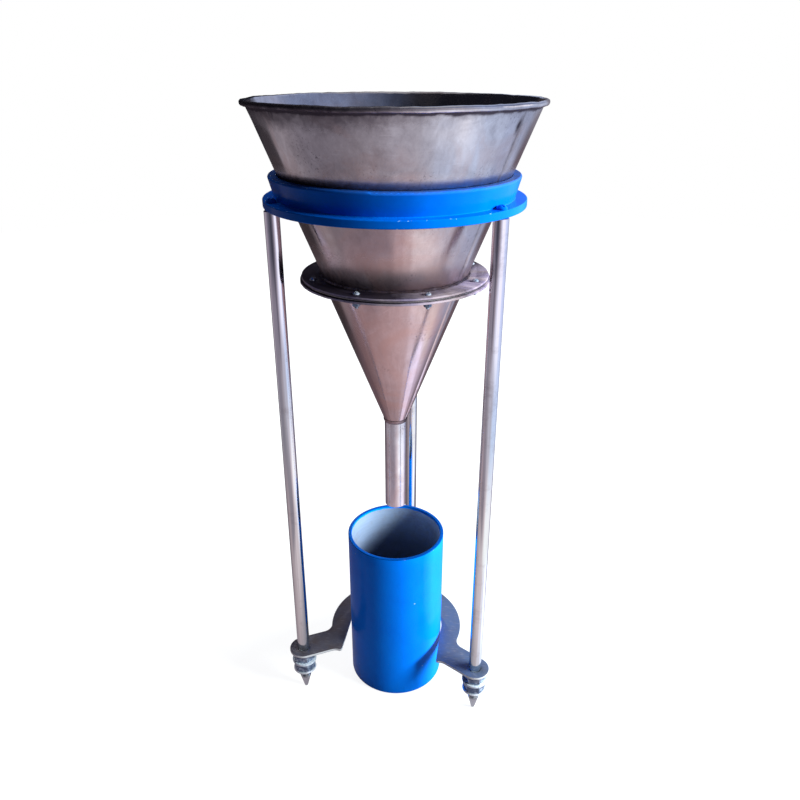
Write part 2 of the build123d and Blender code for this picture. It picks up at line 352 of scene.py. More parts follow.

# Support ring: a steel ring turned in one piece, a flat flange under a flared collar whose bore fits
# the funnel. It is brushed with thick blue enamel, chipped along its turned edges. Its blues are painted
# shade, darker than the measure's, and the top of its collar is painted darker still in shade.
# Painted shade: the ring's blues are darker than the measure's
ring_blue_in_shade = (0.0, 0.112, 0.56, 1)
ring_deep_in_shade = (0.0, 0.094, 0.51, 1)
enamel_dust = (0.01, 0.20, 0.70, 1)
bare_chip = (0.28, 0.48, 0.74, 1)
enamel_gloss = 0.12
enamel_sheen = (0.03, 0.5, 1.0, 1)
edge_wear = 1.6
ring_flecks = 1.0
ring_edges = [(104.3, 492.8), (104.3, 487.2), (99.3, 510.3), (92.85, 510.5)]
# Where the painted shade lies on the top of the collar, and its colour
lip_radius = 96.0
lip_height = 511.0
lip_reach = 5.0
lip_shade = (0.03, 0.07, 0.24, 1)


def reach_on(tree, spot):
    """Distance of a place from the upright axis."""
    return worked(tree, "LENGTH", stretched(tree, spot, (1, 1, 0)))["Value"]


# Closeness to a turned edge of this radius and height about the upright axis
turned_edge, takes, gives = effect(
    "turned_edge", {"Spot": "Vector", "Radius": "Float", "Height": "Float", "Width": "Float"}, ["Mask"])
across = reckon(turned_edge, "SUBTRACT", reach_on(turned_edge, takes["Spot"]), takes["Radius"])
along = reckon(turned_edge, "SUBTRACT", height_on(turned_edge, takes["Spot"]), takes["Height"])
away = reckon(turned_edge, "MULTIPLY", along, along)
away = reckon(turned_edge, "SQRT", reckon(turned_edge, "MULTIPLY_ADD", across, across, away))
turned_edge.links.new(ranged(turned_edge, away, takes["Width"], 0.0), gives["Mask"])

# Thick brushed enamel: chips, mostly along edges, the ripple of the brush, and uneven cover
enamel_wear, takes, gives = effect(
    "enamel_wear", {"Spot": "Vector", "Edge": "Float", "Amount": "Float"}, ["Chips", "Ripple", "Cover"])
ragged = mottle(enamel_wear, takes["Spot"], 420.0, 4.0, 0.6)
patchy = mottle(enamel_wear, takes["Spot"], 55.0, 2.0, 0.5)
edge_chips = reckon(enamel_wear, "MULTIPLY", takes["Edge"], ranged(enamel_wear, patchy, 0.46, 0.60))
edge_chips = ranged(enamel_wear, added(enamel_wear, ragged, edge_chips, 0.26), 0.80, 0.84)
flecks = shader_node(enamel_wear, "TexVoronoi", {"Vector": takes["Spot"], "Scale": 120.0})
fleck_size = shader_node(enamel_wear, "SeparateColor", {0: flecks.outputs["Color"]}).outputs[0]
fleck_size = ranged(enamel_wear, fleck_size, 0.90, 1.0, 0.0, 0.07)
fleck_size = reckon(enamel_wear, "MULTIPLY", fleck_size, takes["Amount"])
flecks = added(enamel_wear, flecks.outputs["Distance"], ragged, -0.05)
flecks = reckon(enamel_wear, "LESS_THAN", reckon(enamel_wear, "ADD", flecks, 0.02), fleck_size)
enamel_wear.links.new(reckon(enamel_wear, "MAXIMUM", edge_chips, flecks), gives["Chips"])
enamel_wear.links.new(mottle(enamel_wear, takes["Spot"], 190.0, 2.0, 0.5), gives["Ripple"])
enamel_wear.links.new(mottle(enamel_wear, takes["Spot"], 32.0, 5.0, 0.6), gives["Cover"])


def edge_on(tree, spot, radius, height, width):
    """Closeness to a turned edge, from lengths in millimetres."""
    lengths = {"Radius": radius * mm, "Height": height * mm, "Width": width * mm}
    return placed(tree, turned_edge, Spot=spot, **lengths)["Mask"]


def enamelled(tree, spot, deep, blue, edges, amount):
    """Colour, roughness and height of blue enamel with these turned edges."""
    edge = 0.0
    for radius, height in edges:
        edge = reckon(tree, "MAXIMUM", edge, edge_on(tree, spot, radius, height, edge_wear))
    wear = placed(tree, enamel_wear, Spot=spot, Edge=edge, Amount=amount)
    dust = dirt_on(tree, spot, 60.0, 0.25)
    colour = tinted(tree, ranged(tree, wear["Cover"], 0.35, 0.65), deep, blue)
    colour = laid(tree, colour, enamel_dust, dust, 0.22)
    colour = tinted(tree, wear["Chips"], colour, bare_chip)
    rough = added(tree, by_noise(tree, wear["Cover"], 0.17, 0.27), dust, 0.18)
    return colour, rough, added(tree, wear["Ripple"], wear["Chips"], -0.8)


blue_enamel, tree, spot = surface(
    "blue_enamel", Specular_IOR_Level=enamel_gloss, Specular_Tint=enamel_sheen)
enamel_colour, enamel_rough, enamel_height = enamelled(
    tree, spot, ring_deep_in_shade, ring_blue_in_shade, ring_edges, ring_flecks)
# The top of the collar is darkened next to the cone: painted shade
lip = ranged(tree, edge_on(tree, spot, lip_radius, lip_height, lip_reach), 0.1, 0.5)
lip = reckon(tree, "MULTIPLY", lip, ranged(tree, mottle(tree, spot, 60.0), 0.3, 0.6, 0.3, 0.9))
joined(tree, Base_Color=tinted(tree, lip, enamel_colour, lip_shade), Roughness=enamel_rough)
bumped(tree, enamel_height, 0.10)


def carried(node, finish):
    """A CAD piece shown as it is, with its finish."""
    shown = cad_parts[node]
    coated(shown.data, finish)


carried("support_ring", blue_enamel)

# Leg screws: M5 round-head screws through the ring's ledge into the tapped rods, with a driver slot.
# They were painted over together with the ring.
leg_screw = {"shank": 2.5, "length": 20.0, "edge": 4.25, "side": 1.2, "height": 3.3, "pitch": 0.8}
leg_screw_slot = (1.2, 1.3)
leg_slot_turns = {"rear": 0.4, "left": 1.3, "right": 2.2}
leg_screw_sides = 40
ledge_height = span("leg_screws")[1][2] - leg_screw["height"]
thread_share = 0.55
thread_run_out = 0.3
screw_rows = 6
head_ease = 0.15
head_neck = 0.2
dome_rows = 8
slot_cutter_length = 20.0


def screw_outline(shank, length, edge, side, height, pitch):
    """Outline of a round-head screw whose head stands on zero, with a thread up to the head."""
    rise = height - side
    dome = (edge ** 2 + rise ** 2) / (2 * rise)
    spread = asin(edge / dome)
    depth = thread_share * pitch

    def outline(turn):
        points = [(0, -length), (shank - depth, -length)]
        for row in range(int((length - 2 * thread_run_out) / pitch * screw_rows)):
            level = thread_run_out - length + row * pitch / screw_rows
            wave = thread_wave(level, pitch, turn)
            points.append((shank - depth * thread_cut(wave), level, wave))
        points += [(shank, -head_neck), (shank, 0), (edge - head_ease, 0), (edge, head_ease), (edge, side)]
        for step in range(1, dome_rows + 1):
            lean = spread * (1 - step / dome_rows)
            points.append((dome * sin(lean), height - dome + dome * cos(lean)))
        return points

    return outline


def slotted(mesh, width, depth, top):
    """A screw with a driver slot cut across the top of its head."""
    block = bpy.data.meshes.new("slot_cutter")
    work = bmesh.new()
    bmesh.ops.create_cube(work, size=1.0)
    bmesh.ops.scale(work, verts=work.verts, vec=(slot_cutter_length * mm, width * mm, 2 * depth * mm))
    bmesh.ops.translate(work, verts=work.verts, vec=(0, 0, top * mm))
    work.to_mesh(block)
    work.free()
    cutter = put_in("slot_cutter", block)
    blank = put_in("screw_blank", mesh)
    cut = blank.modifiers.new("slot", "BOOLEAN")
    cut.object = cutter
    cut.operation = "DIFFERENCE"
    cut.solver = "EXACT"
    depsgraph = bpy.context.evaluated_depsgraph_get()
    made = bpy.data.meshes.new_from_object(blank.evaluated_get(depsgraph))
    for thing in (cutter, blank):
        bpy.data.objects.remove(thing)
    return softened(made)


def set_out(name, mesh, places):
    """Copies of a mesh at several places, joined in one piece."""
    work = bmesh.new()
    for place in places:
        copy = mesh.copy()
        copy.transform(place)
        work.from_mesh(copy)
        bpy.data.meshes.remove(copy)
    made = bpy.data.meshes.new(name)
    work.to_mesh(made)
    work.free()
    return softened(made)


def at(x, y, z, turn=0.0):
    """A place in millimetres, turned about the upright axis."""
    return Matrix.Translation((x * mm, y * mm, z * mm)) @ Matrix.Rotation(turn, 4, "Z")


one_leg_screw = turned("leg_screw", screw_outline(**leg_screw), even_turns(leg_screw_sides), closed=False)
one_leg_screw = slotted(one_leg_screw, *leg_screw_slot, leg_screw["height"])
leg_screw_places = [at(*leg_spots[leg], ledge_height, leg_slot_turns[leg]) for leg in leg_spots]
leg_screw_set = set_out("painted_leg_screws", one_leg_screw, leg_screw_places)
dressed(leg_screw_set, "stand", "blue_paint", blue_enamel, "leg_screws")

# Base plate: a horseshoe cut from dark mill plate, whose three arms take the legs. Its faces keep the
# bluish and brownish scale, scuffed and oily, and its cut edges are bright. From right to left its faces
# turn from blue to brown: a painted sheen of the window and painted shade.
blue_scale_and_sheen = (0.064, 0.091, 0.166, 1)
brown_scale_and_shade = (0.090, 0.066, 0.062, 1)
scale_scuff = (0.22, 0.21, 0.25, 1)
cut_bright = (0.72, 0.71, 0.74, 1)
plate_ease = 0.3
sharp_edge = 40.0
flat_enough = 0.5
eased_crease = 50.0
sheen_and_shade_side = (50.0, -60.0)


def levelness(tree):
    """How level a face lies: one when it is flat and none when it is upright."""
    normal = shader_node(tree, "NewGeometry").outputs["Normal"]
    return reckon(tree, "ABSOLUTE", shader_node(tree, "SeparateXYZ", {0: normal}).outputs[2])


dark_plate, tree, spot = surface("dark_plate", Metallic=0.35)
scale_patches = dirt_on(tree, spot, 14.0, 0.75)
scuffs = lines_on(tree, spot, (130, 900, 60))
sideways = shader_node(tree, "SeparateXYZ", {0: spot}).outputs[0]
# Browner to the left and bluer to the right: painted shade and a painted sheen of the window
brown_share = graded(tree, sideways, *sheen_and_shade_side, 0.0, 0.65)
brown_share = added(tree, brown_share, scale_patches, 0.35)
plate_colour = tinted(tree, brown_share, blue_scale_and_sheen, brown_scale_and_shade)
plate_colour = tinted(tree, ranged(tree, scuffs, 0.56, 0.74, 0.0, 0.6), plate_colour, scale_scuff)
plate_colour = laid(tree, plate_colour, cut_bright, ranged(tree, levelness(tree), 0.85, 0.55), 0.85)
plate_rough = added(tree, by_noise(tree, scuffs, 0.42, 0.30), scale_patches, 0.14)
joined(tree, Base_Color=plate_colour, Roughness=plate_rough)
bumped(tree, added(tree, scuffs, scale_patches, 0.6), 0.05)


def eased(name, node, ease):
    """A copy of a CAD piece's mesh with its sharp edges rounded a little."""
    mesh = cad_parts[node].data.copy()
    mesh.name = name
    if "custom_normal" in mesh.attributes:
        mesh.attributes.remove(mesh.attributes["custom_normal"])
    work = bmesh.new()
    work.from_mesh(mesh)
    bmesh.ops.remove_doubles(work, verts=work.verts, dist=1e-6)
    bmesh.ops.dissolve_limit(work, angle_limit=radians(flat_enough), verts=work.verts, edges=work.edges)
    sharp = [
        line for line in work.edges
        if len(line.link_faces) == 2 and line.calc_face_angle() > radians(sharp_edge)
    ]
    bmesh.ops.bevel(
        work, geom=sharp, offset=ease * mm, segments=2, profile=0.5, affect="EDGES", clamp_overlap=True)
    work.to_mesh(mesh)
    work.free()
    return softened(mesh, eased_crease)


horseshoe = eased("horseshoe_plate", "base_plate", plate_ease)
dressed(horseshoe, "stand", "dark_plate", dark_plate, "base_plate")

# Foot nuts and washers: zinc-plated M12 hexagon nuts with their corners turned off. The base plate
# rests on the upper ones, and washers and lock nuts are run up the thread under them.
lock_nut_low, lock_nut_high = span("lock_nut_rear")
lock_nut_base = lock_nut_low[2]
nut_across = lock_nut_high[1] - lock_nut_low[1]
nut_height = lock_nut_high[2] - lock_nut_low[2]
nut_bore = 6.05
nut_face = 0.955
nut_chamfer = radians(30.0)
nut_sides = 72
lock_nut_skirt = 11.3
skirt_ease = 0.3
skirt_height = 1.6
skirt_root = 2.2
plate_nut_base = span("plate_nuts")[0][2]
washer_low, washer_high = span("foot_washer_rear")
washer_base = washer_low[2]
washer_thickness = washer_high[2] - washer_low[2]
washer_radius = washer_high[0]
washer_bore = 6.5
washer_sides = 64
washer_edge = [
    (washer_bore, 0.2), (washer_bore + 0.2, 0), (washer_radius - 0.6, 0), (washer_radius - 0.15, 0.2),
    (washer_radius, 0.7),
]
zinc_bright = (0.44, 0.51, 0.63, 1)
zinc_dull = (0.09, 0.125, 0.21, 1)
zinc_dirt = (0.035, 0.04, 0.06, 1)
zinc_fresh = (0.80, 0.82, 0.88, 1)

zinc_plate, tree, spot = surface("zinc_plate", Metallic=0.6)
zinc_cloud = mottle(tree, spot, 260.0, 5.0, 0.6)
zinc_film = dirt_on(tree, spot, 110.0, 0.35)
zinc_lines = lines_on(tree, spot, (700, 700, 2600))
zinc_colour = tinted(tree, ranged(tree, zinc_cloud, 0.44, 0.68), zinc_dull, zinc_bright)
zinc_colour = laid(tree, zinc_colour, zinc_dirt, zinc_film, 0.75)
zinc_colour = tinted(tree, mark_on(tree), zinc_colour, zinc_fresh)
zinc_rough = added(tree, by_noise(tree, zinc_cloud, 0.13, 0.24), zinc_film, 0.25)
joined(tree, Base_Color=zinc_colour, Roughness=zinc_rough)
bumped(tree, added(tree, zinc_cloud, zinc_lines, 0.4), 0.012)


def fresh_zinc(name, metal):
    """Bright zinc plate with a little dirt, more or less like bare metal."""
    made, tree, spot = surface(name, Metallic=metal)
    cloud = mottle(tree, spot, 500.0, 4.0, 0.6)
    colour = tinted(tree, ranged(tree, cloud, 0.35, 0.65), zinc_bright, zinc_fresh)
    colour = laid(tree, colour, zinc_dirt, dirt_on(tree, spot, 160.0, 0.35), 0.6)
    joined(tree, Base_Color=colour, Roughness=by_noise(tree, cloud, 0.16, 0.30))
    bumped(tree, cloud, 0.02)
    return made


washer_zinc = fresh_zinc("washer_zinc", 0.4)


def nut_outline(across, height, bore, base, ease=0.6, skirt=0.0):
    """Outline of a hexagon nut: flats, corners turned off at thirty degrees, an eased bore and perhaps
    a skirt. The skirt's points are marked."""
    flat = across / 2
    face = nut_face * flat

    def outline(turn):
        corner = flat / cos(turn % (pi / 3) - pi / 6)
        drop = (corner - face) * tan(nut_chamfer)
        foot = [(face, 0, 0), (corner, drop, 0)]
        if skirt:
            foot = [
                (skirt - skirt_ease, 0, 0), (skirt, skirt_ease, 1), (skirt, skirt_height - skirt_ease, 1),
                (skirt - skirt_ease, skirt_height, 1), (corner, skirt_root, 0),
            ]
        points = [
            (bore + ease, 0, 0), *foot, (corner, height - drop, 0),
            (face, height, 0), (bore + ease, height, 0), (bore, height - ease, 0), (bore, ease, 0),
        ]
        return [(radius, base + level, mark) for radius, level, mark in points]

    return outline


def washer_outline(turn):
    """Outline of a punched washer, rounder on its outer edge."""
    upper = [(radius, washer_thickness - level) for radius, level in reversed(washer_edge)]
    return [(radius, washer_base + level) for radius, level in [*washer_edge, *upper]]


def foot_nut(name, base, spot, skirt=0.0):
    """A foot nut at its height, on a leg at this spot."""
    outline = nut_outline(nut_across, nut_height, nut_bore, base, skirt=skirt)
    return turned(name, outline, even_turns(nut_sides), spot)


plate_nut = foot_nut("plate_nut", plate_nut_base, (0, 0))
plate_nut_set = set_out("plate_nut_set", plate_nut, [at(*leg_spot, 0) for leg_spot in leg_spots.values()])
dressed(plate_nut_set, "stand", "zinc_hardware", zinc_plate, "plate_nuts")
for leg, leg_spot in leg_spots.items():
    washer = turned(f"washer_{leg}", washer_outline, even_turns(washer_sides), leg_spot)
    dressed(washer, f"foot_washer_{leg}", "zinc_hardware", washer_zinc, f"foot_washer_{leg}")
    nut = foot_nut(f"nut_{leg}", lock_nut_base, leg_spot, lock_nut_skirt)
    dressed(nut, f"lock_nut_{leg}", "zinc_hardware", zinc_plate, f"lock_nut_{leg}")

# Upper cone: one stainless sheet bent by hand to a cone, lapped and soldered down one side, with its
# top edge curled outward round a wire. It is dented along the rim and stained by use. Under the rim, at
# the ring and above the weld it is darkened with dirt and painted shade, least on the lit side by the lap.
throat_radius = span("lower_cone")[1][0]
joint_top = span("upper_cone")[0][2]
sheet = 1.0
wire_low, wire_high = span("rim_wire")
wire_radius = 1.0
rim_centre = wire_high[0] - wire_radius
rim_height = (wire_low[2] + wire_high[2]) / 2
upper_height = rim_height - joint_top
curl_bore = 1.05
curl_radius = 2.05
curl_sweep = radians(285.0)
curl_inner_rows = 12
curl_outer_rows = 20
wire_sides = 10
cone_rows = 64
row_crowding = 0.11
cone_turns = 300
lap_turn = radians(-24.0)
lap_step = 1.3
lap_width = 0.055
lap_gap = 0.0003
lap_rows = 6
cone_inset = 0.30
seat_heights = (468.0, 480.0, 512.0, 520.0)
# Heights of the painted shade above the ring's collar, and how little painted shade is left near the lap
seat_shade_heights = (500.0, 506.0, 511.5, 518.0)
lap_side_share = 0.12
lap_side_reach = (0.45, 1.7)
lap_stain_width = 0.025
lap_stain_heights = (515.0, 545.0)
bruise_turn = -0.08
bruise_width = 0.028
bruise_height = 550.0
bruise_tall = 6.5
rubbed_heights = (498.0, 506.0, 511.0, 522.0)
smeared_heights = (427.0, 428.5, 440.0, 468.0)
tan_reflection_heights = (560.0, 450.0)
steel_light = (0.70, 0.67, 0.70, 1)
steel_dark = (0.42, 0.39, 0.415, 1)
steel_tan = (0.60, 0.45, 0.42, 1)
steel_scratch = (0.92, 0.90, 0.92, 1)
dark_stain_and_shade = (0.052, 0.039, 0.060, 1)
steel_polish = 0.13

# Waves left by hand work: the depth, drift with height, bends and seed of each
cone_flats = ((0.30, 0.004, 7.0, 3.1), (0.16, 0.012, 15.0, 8.7))
rim_lumps = ((0.45, 0.0, 4.0, 21.0), (0.25, 0.0, 13.0, 33.0))
rim_swell = (0.10, 0.0, 20.0, 41.0)
stain_drift = ((0.6, 0.05, 7.0, 55.0), (0.6, 0.2, 23.0, 59.0))

upper_angle = atan2(rim_centre - throat_radius, upper_height) - asin(
    curl_bore / hypot(rim_centre - throat_radius, upper_height))


def round_noise(turn, level, bends, seed):
    """Smooth noise round a piece, with about this many bends in a radian, drifting with height."""
    return noise.noise(Vector((bends * cos(turn) + seed, bends * sin(turn) - seed, level)))


def waver(turn, height, *waves):
    """Several rounds of smooth noise added up, each with its depth, drift with height, bends and seed."""
    return sum(depth * round_noise(turn, height * drift, bends, seed) for depth, drift, bends, seed in waves)


def eased_step(value, low, high):
    """Zero below low, one above high, and smooth between."""
    share = min(1.0, max(0.0, (value - low) / (high - low)))
    return share * share * (3 - 2 * share)


def eased_between(value, low, full, still, high):
    """One from full to still, zero below low and above high, and smooth between."""
    return eased_step(value, low, full) * (1 - eased_step(value, still, high))


def from_lap(turn):
    """Angle from the lapped edge, positive past it."""
    return (turn - lap_turn + pi) % (2 * pi) - pi


def lapped(turn, width):
    """Rise of the sheet toward its lapped edge: zero until a width before the edge, and one at it."""
    past = from_lap(turn)
    return sin(pi / 2 * (1 + past / width)) if -width < past <= 0 else 0.0


def hand_bent(turn, height):
    """How far the bent sheet stands off its true cone: flats between the bends, and the lap. Both are
    pressed in where the cone sits in the ring."""
    seat = eased_between(height, *seat_heights)
    flats = waver(turn, height, *cone_flats) * (1 - 0.5 * seat)
    return flats - cone_inset + lap_step * (1 - 0.8 * seat) * lapped(turn, lap_width)


def rim_shift(turn):
    """How far the rim is moved outward and upward, from beating it over the wire."""
    lump = waver(turn, 0.0, *rim_lumps)
    return 0.6 * lump - 0.3, lump - 0.35


def rim_place(turn, reach, lean):
    """A point of the curl at this distance and angle from the middle of its wire."""
    swell = 1 + waver(turn, 0.0, rim_swell)
    out, up = rim_shift(turn)
    return rim_centre + reach * swell * cos(lean) + out, rim_height + reach * swell * sin(lean) + up


def stain_and_shade_mark(turn, height):
    """Solder stain and a bruise beside the lap, and darkening under the rim, at the ring and by the weld:
    dirt and painted shade, with the bead's shadow and the collar's reflection painted in, less of it on
    the lit side near the lap."""
    past = from_lap(turn)
    around = abs(past)
    away = lap_side_share + (1 - lap_side_share) * eased_step(around, *lap_side_reach)
    drift = 0.5 + waver(turn, height, *stain_drift)
    below = rim_height - height
    lap = exp(-abs(past + lap_width) / lap_stain_width)
    lap *= 0.42 + 0.2 * eased_step(height, *lap_stain_heights)
    bruise = hypot((past - bruise_turn) / bruise_width, (height - bruise_height) / bruise_tall)
    bruise = exp(-bruise ** 2)
    # The bead's shadow under the rim, painted, with dirt spreading below it
    under_rim_shade = (1 - 0.5 * eased_step(around, 0.6, 1.2)) * (1 - eased_step(below, 2.5, 3.5 + 2.2 * drift))
    under_rim_shade += (0.2 + 0.5 * away) * (1 - eased_step(below, 3, 13 + 10 * away))
    # A dark band on the cone above the ring's collar: a painted shadow and reflection of the collar
    seat = eased_between(height, *seat_shade_heights) * away
    # Darker above the weld away from the lap: painted shade with dirt
    foot = 0.85 * eased_step(around, 0.6, 1.7)
    foot *= 1 - eased_step(height, joint_top, joint_top + 17 + 8 * drift)
    return min(1.0, max(lap, bruise, under_rim_shade, seat, foot if height > joint_top - 1 else 0))


def bead_shade_mark(turn, lean):
    """Painted shade on the curl, with dirt: underneath all round, and over the whole of it far from the lap,
    on the unlit side.
    """
    away = eased_step(abs(from_lap(turn)), 0.6, 1.35)
    under = 1 - eased_step(lean, radians(-75), radians(-30))
    return max(under, 0.85 * away * (1 - eased_step(lean, 0.9, 1.6)))


def upper_outline(turn):
    """Outside of the cone, the curl round the wire, and the inside of the cone."""
    points = []
    start = pi - upper_angle
    wall = sheet / cos(upper_angle)
    top = rim_height + curl_bore * sin(upper_angle)
    out, up = rim_shift(turn)
    for row in range(cone_rows):
        share = row / cone_rows - row_crowding * sin(2 * pi * row / cone_rows)
        height = joint_top + (top - joint_top) * share
        off = hand_bent(turn, height) * eased_step(height, joint_top, joint_top + 10)
        rim = eased_step(height, rim_height - 14, rim_height)
        radius = throat_radius + (height - joint_top) * tan(upper_angle) + off * cos(upper_angle)
        points.append((radius + rim * (out - off), height + rim * up, stain_and_shade_mark(turn, height)))
    for step in range(curl_inner_rows + 1):
        points.append((*rim_place(turn, curl_bore, start - curl_sweep * step / curl_inner_rows), 1))
    for step in range(curl_outer_rows + 1):
        lean = start - curl_sweep * (1 - step / curl_outer_rows)
        points.append((*rim_place(turn, curl_radius, lean), bead_shade_mark(turn, lean)))
    points += [(radius - wall, height) for radius, height, mark in reversed(points[:cone_rows])]
    return points


def wire_outline(turn):
    """The wire inside the curl."""
    return [rim_place(turn, wire_radius, lean) for lean in even_turns(wire_sides)]


def heading_on(tree, spot):
    """Direction of a place from the upright axis."""
    return worked(tree, "NORMALIZE", stretched(tree, spot, (1, 1, 0)))[0]


# Stains on bent sheet: clouds and streaks, tan blotches, pits, scratches level and slanting
sheet_stains, takes, gives = effect(
    "sheet_stains", {"Spot": "Vector"}, ["Cloud", "Tan", "Pits", "Scratches", "Ragged", "Height"])
tree, spot = sheet_stains, takes["Spot"]
running = worked(tree, "ADD", heading_on(tree, spot), stretched(tree, spot, (0, 0, 7)))[0]
cloud = reckon(tree, "MULTIPLY", mottle(tree, spot, 22.0, 5.0, 0.55, 1.2), 0.52)
cloud = added(tree, cloud, mottle(tree, running, 9.0, 6.0, 0.6, 0.8), 0.34)
cloud = added(tree, cloud, mottle(tree, running, 55.0, 4.0, 0.6), 0.14)
pits = ranged(tree, mottle(tree, spot, 520.0, 4.0, 0.7), 0.57, 0.64)
pits = reckon(tree, "MULTIPLY", pits, ranged(tree, mottle(tree, spot, 30.0, 3.0, 0.5), 0.54, 0.68))
slant = shader_node(tree, "VectorRotate", {"Vector": spot, "Angle": 0.6}, rotation_type="Y_AXIS").outputs[0]
level_lines = mottle(tree, stretched(tree, spot, (45, 45, 1300)), 1.0, 2.0)
slant_lines = mottle(tree, stretched(tree, slant, (60, 60, 1300)), 1.0, 2.0)
stains = {
    "Cloud": cloud,
    "Tan": ranged(tree, mottle(tree, spot, 19.0, 6.0, 0.6, 1.5), 0.42, 0.64),
    "Pits": pits,
    "Scratches": ranged(tree, reckon(tree, "MAXIMUM", level_lines, slant_lines), 0.66, 0.74),
    "Ragged": mottle(tree, spot, 150.0, 5.0, 0.62, 0.8),
    "Height": added(tree, mottle(tree, spot, 70.0, 4.0, 0.5), pits, -0.2),
}
for label, stain in stains.items():
    tree.links.new(stain, gives[label])


def between(tree, value, low, full, still, high):
    """One from full to still, and none below low or above high."""
    return reckon(tree, "MULTIPLY", ranged(tree, value, low, full), ranged(tree, value, high, still))


def stained_sheet(name, light, dark, polish, tan_reflection_share=0.0, metal=1.0):
    """Bent stainless sheet, lighter or darker, with its stains and polish. It is tan low down, partly a
    painted reflection of the warm floor. Where its points are marked it is darkened with stains and painted
    shade, and it is dull where it is rubbed by the ring and smeared above the flange."""
    made, tree, spot = surface(name, Metallic=metal)
    stains = placed(tree, sheet_stains, Spot=spot)
    height = height_on(tree, spot)
    # Marked places are darkened with stains and painted shade
    stain_and_shade = added(tree, mark_on(tree), stains["Ragged"], 0.7)
    stain_and_shade = ranged(tree, stain_and_shade, 0.47, 1.25, 0.0, 0.92)
    rubbed = between(tree, height, *(level * mm for level in rubbed_heights))
    smeared = between(tree, height, *(level * mm for level in smeared_heights))
    colour = tinted(tree, ranged(tree, stains["Cloud"], 0.38, 0.62), dark, light)
    # Tan low down: a stain that also paints in the warm reflection of the floor
    low = graded(tree, height, *tan_reflection_heights, -0.25, tan_reflection_share)
    colour = tinted(tree, added(tree, low, stains["Tan"], 0.5), colour, steel_tan)
    colour = laid(tree, colour, steel_scratch, stains["Scratches"], 0.18)
    colour = laid(tree, colour, dark_stain_and_shade, stains["Pits"], 0.6)
    colour = tinted(tree, stain_and_shade, colour, dark_stain_and_shade)
    rough = ranged(tree, stains["Cloud"], 0.38, 0.62, polish + 0.05, polish)
    for dull, weight in ((stains["Tan"], 0.06), (rubbed, 0.25), (smeared, 0.275), (stain_and_shade, 0.5)):
        rough = added(tree, rough, dull, weight)
    joined(tree, Base_Color=colour, Roughness=rough)
    bumped(tree, stains["Height"], 0.010)
    return made


stainless_sheet = stained_sheet("stainless_sheet", steel_light, steel_dark, steel_polish, 0.45)
lap_turns = [
    lap_turn + lap_gap,
    *(lap_turn - lap_gap - lap_width * step / lap_rows for step in range(2 * lap_rows + 1)),
]
upper_turns = sorted([*even_turns(cone_turns), *(turn % (2 * pi) for turn in lap_turns)])
wired_cone = turned("wired_cone", upper_outline, upper_turns)
dressed(wired_cone, "funnel", "stainless_sheet", stainless_sheet, "upper_cone")
wire = turned("wire", wire_outline, upper_turns)
dressed(wire, "funnel", "stainless_sheet", stainless_sheet, "rim_wire")

# Flanges: two flat rings sheared from thicker sheet, their edges filed by hand. Each is welded to its
# cone. Their level faces are painted darker in shade on the side away from the lap, the unlit side.
flange_dark = (0.14, 0.10, 0.155, 1)
flange_light = (0.39, 0.315, 0.46, 1)
flange_shade = (0.010, 0.006, 0.012, 1)
flange_ease = 0.25
filing = 0.0035

flange_sheet = stained_sheet("flange_sheet", flange_light, flange_dark, polish=0.30, metal=0.3)
tree = flange_sheet.node_tree
spot = spot_on(tree)
lap_heading = (cos(lap_turn), sin(lap_turn), 0)
# Darker on the level faces away from the lap: painted shade, made ragged by noise
toward_lap = worked(tree, "DOT_PRODUCT", heading_on(tree, spot), lap_heading)["Value"]
ragged = added(tree, toward_lap, mottle(tree, spot, 90.0, 5.0, 0.65), 0.5)
shaded_side = ranged(tree, ragged, 1.20, 0.80, 0.0, 0.96)
shaded_side = reckon(tree, "MULTIPLY", shaded_side, ranged(tree, levelness(tree), 0.6, 0.9))
flange_colour = tree.nodes["Principled BSDF"].inputs["Base Color"].links[0].from_socket
joined(tree, Base_Color=tinted(tree, shaded_side, flange_colour, flange_shade))
for flange, node, seed in (("upper_ring", "upper_flange", 2.0), ("lower_ring", "lower_flange", 9.0)):
    flange_mesh = eased(flange, node, flange_ease)
    outer_edge = (span(node)[1][0] - 1) * mm
    for point in flange_mesh.vertices:
        if hypot(point.co.x, point.co.y) > outer_edge:
            turn = atan2(point.co.y, point.co.x)
            filed = 1 + filing * (round_noise(turn, 0.0, 9.0, seed) - 0.4)
            point.co.x *= filed
            point.co.y *= filed
    dressed(flange_mesh, "funnel", "stainless_sheet", flange_sheet, node)

# Welds: rough beads laid by hand round the joints of cone, flange and spout, left undressed and
# discoloured by the heat.
joint_base = span("lower_cone")[1][2]
spout_low, spout_high = span("spout_tube")
spout_top = spout_high[2]
spout_radius = spout_high[0]
bead_root = 0.4
bead_sunk = 0.2
bead_rows = 8
weld_sides = 360
neck_swell = [(0.0, -1.6), (0.35, -1.1), (0.6, -0.4), (0.7, 0.3), (0.55, 1.1), (0.35, 1.8)]
neck_root = 0.3
neck_back = (1.2, -1.4)
neck_sides = 72
weld_light = (0.36, 0.32, 0.36, 1)
weld_dark = (0.085, 0.06, 0.065, 1)

weld_bead = stained_sheet("weld_bead", weld_light, weld_dark, polish=0.34)
lower_slope = (throat_radius - spout_radius) / (joint_base - spout_top)


